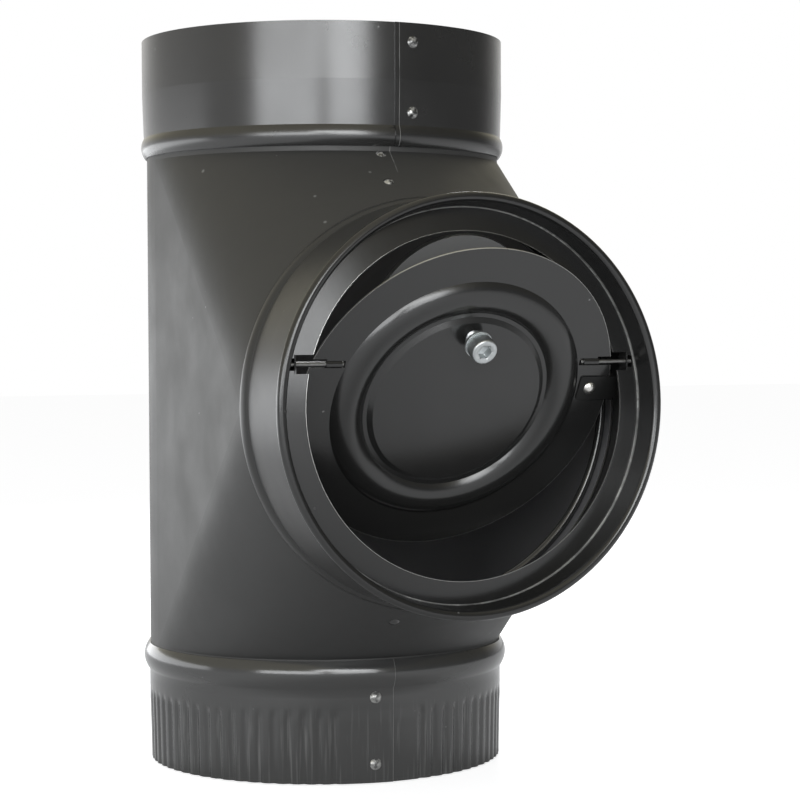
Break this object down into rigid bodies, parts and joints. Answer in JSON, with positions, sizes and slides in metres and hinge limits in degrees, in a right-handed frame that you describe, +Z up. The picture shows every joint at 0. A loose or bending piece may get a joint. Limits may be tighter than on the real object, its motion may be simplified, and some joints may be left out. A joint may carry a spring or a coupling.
{
  "type": "stovepipe tee with draft regulator",
  "caption": "Black sheet-steel stovepipe tee, crimped at the lower end, with a weighted disc that swings on pins in its branch to let room air into the flue.",
  "frame": {"origin": "middle of the main run's lower, crimped end", "axes": "+Z up the main run, branch and disc towards -Y, +X to the right when facing the disc"},
  "size_m": [0.161, 0.2381, 0.3048],
  "materials": {
    "black_paint": "satin",
    "zinc_steel": "satin",
    "bare_rivet": "satin",
    "dull_steel": "matte"
  },
  "bodies": {
    "tee": {"tee_body": "black_paint", "body_rivets": "black_paint", "top_collar": "black_paint", "top_collar_rivets": "black_paint", "bottom_collar": "black_paint", "bottom_collar_rivets": "black_paint", "branch_barrel": "black_paint", "damper_frame": "black_paint"},
    "damper": {"damper_disc": "black_paint", "left_pivot_pin": "zinc_steel", "right_pivot_pin": "zinc_steel", "stop_tab": "black_paint", "stop_rivet": "bare_rivet", "disc_nut": "zinc_steel"},
    "weight": {"counterweight": "dull_steel"},
    "screw": {"adjusting_screw": "zinc_steel", "lock_washer": "zinc_steel", "weight_nuts": "zinc_steel"}
  },
  "joints": [
    {"name": "damper_swing", "type": "hinge", "parent": "tee", "child": "damper", "pos_m": [0, -0.1356, 0.1693], "axis": [1, 0, 0], "range_deg": [-30, 55]},
    {"name": "weight_slide", "type": "slide", "parent": "damper", "child": "weight", "axis": [0, -0.866, -0.5], "range_m": [-0.003, 0.006]},
    {"name": "screw_turn", "type": "hinge", "parent": "weight", "child": "screw", "pos_m": [0, -0.1414, 0.17935], "axis": [0, -0.866, -0.5], "range_deg": [-1080.01, 2160.01]}
  ],
  "couplings": [
    {"joint": "screw_turn", "follows": "weight_slide", "rad_per_m": 6283.2}
  ]
}
